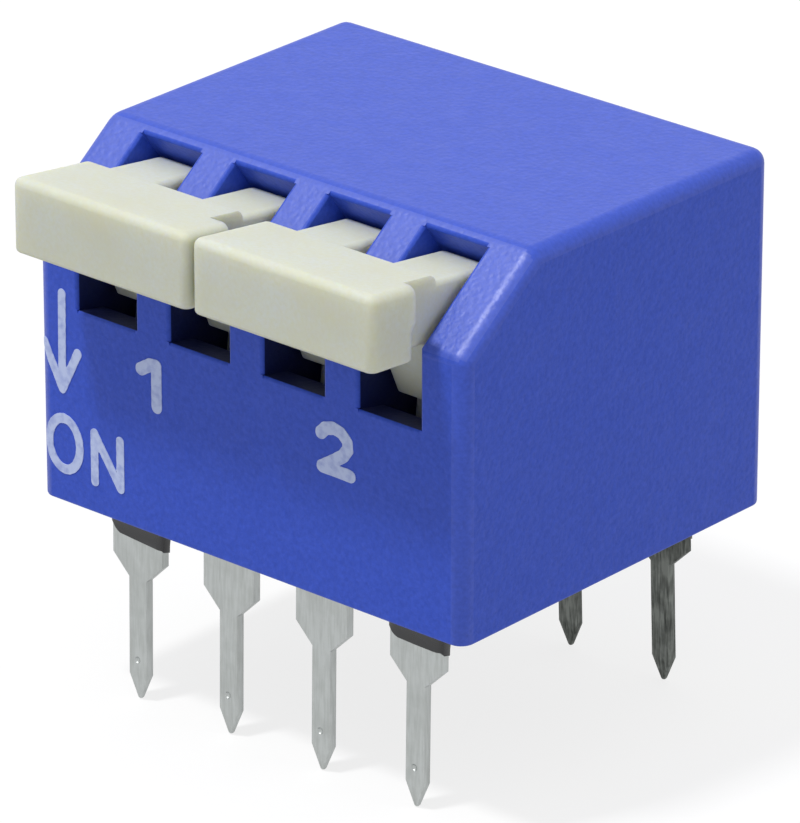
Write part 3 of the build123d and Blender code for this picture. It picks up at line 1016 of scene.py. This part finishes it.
class DIP_OT_terminals(bpy.types.Operator):
    """Eight stamped and plated terminals"""
    bl_idname = "dip_switch.terminals"
    bl_label = "Terminals"

    def execute(self, context):
        _, _, s = body_outline()
        for side, row in ((-1, "front"), (1, "rear")):
            # The rear row's finish carries painted shade
            finish = tinned(context.scene.dip_colours, painted_shade_row=side > 0)
            for number, x in enumerate(s.slots, start=1):
                finish_piece(draw_terminal(x, side), f"terminal_blade_{row}_{number}", finish, "housing",
                             [f"terminal_{row}_{number}"])
        return {"FINISHED"}


class DIP_OT_seal(bpy.types.Operator):
    """Poured resin with a meniscus around each terminal"""
    bl_idname = "dip_switch.seal"
    bl_label = "Seal"

    def execute(self, context):
        finish = cast_resin(context.scene.dip_colours)
        finish_piece(draw_seal(), "seal_resin", finish, "housing", ["bottom_seal"])
        return {"FINISHED"}


class DIP_OT_inside(bpy.types.Operator):
    """Finishes of the base and the contact springs, which keep their CAD shape"""
    bl_idname = "dip_switch.inside"
    bl_label = "Base and springs"

    def execute(self, context):
        black, gold = moulded_black(context.scene.dip_colours), gold_flashed(context.scene.dip_colours)
        for name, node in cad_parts.items():
            if name == "base" or name.startswith("contact_spring"):
                node.data.materials.clear()
                node.data.materials.append(black if name == "base" else gold)
        return {"FINISHED"}


class DIP_OT_marks(bpy.types.Operator):
    """Printed arrow, ON, 1 and 2 on the front face"""
    bl_idname = "dip_switch.marks"
    bl_label = "Printed marks"

    def execute(self, context):
        finish = printed_ink(context.scene.dip_colours)
        for name, (weight, strokes) in MARKS.items():
            finish_piece(draw_mark(weight, strokes), name, finish, "housing")
        return {"FINISHED"}


class DIP_PT_panel(bpy.types.Panel):
    """Sizes, colours and pieces of the switch"""
    bl_idname = "DIP_PT_panel"
    bl_label = "DIP switch"
    bl_space_type = "VIEW_3D"
    bl_region_type = "UI"
    bl_category = "DIP switch"

    def draw(self, context):
        for made in OPERATORS:
            self.layout.operator(made.bl_idname)
        for key in GROUPS:
            box = self.layout.box()
            box.label(text=key.removeprefix("dip_").capitalize())
            for name in GROUPS[key].__annotations__:
                box.prop(getattr(context.scene, key), name)


GROUPS = {"dip_body": BodySizes, "dip_lever": LeverSizes, "dip_terminal": TerminalSizes,
          "dip_seal": SealSizes, "dip_print": PrintSizes, "dip_colours": Colours, "dip_stage": StageSettings}
OPERATORS = (DIP_OT_stage, DIP_OT_cover, DIP_OT_seal, DIP_OT_inside, DIP_OT_terminals, DIP_OT_levers,
             DIP_OT_marks)


def register():
    for made in (*GROUPS.values(), *OPERATORS, DIP_PT_panel):
        bpy.utils.register_class(made)
    for key, group in GROUPS.items():
        setattr(bpy.types.Scene, key, PointerProperty(type=group))


def unregister():
    for key in GROUPS:
        delattr(bpy.types.Scene, key)
    for made in reversed((*GROUPS.values(), *OPERATORS, DIP_PT_panel)):
        bpy.utils.unregister_class(made)


def main():
    register()
    for made in OPERATORS:
        getattr(bpy.ops.dip_switch, made.bl_idname.split(".")[1])()


if __name__ == "__main__":
    main()
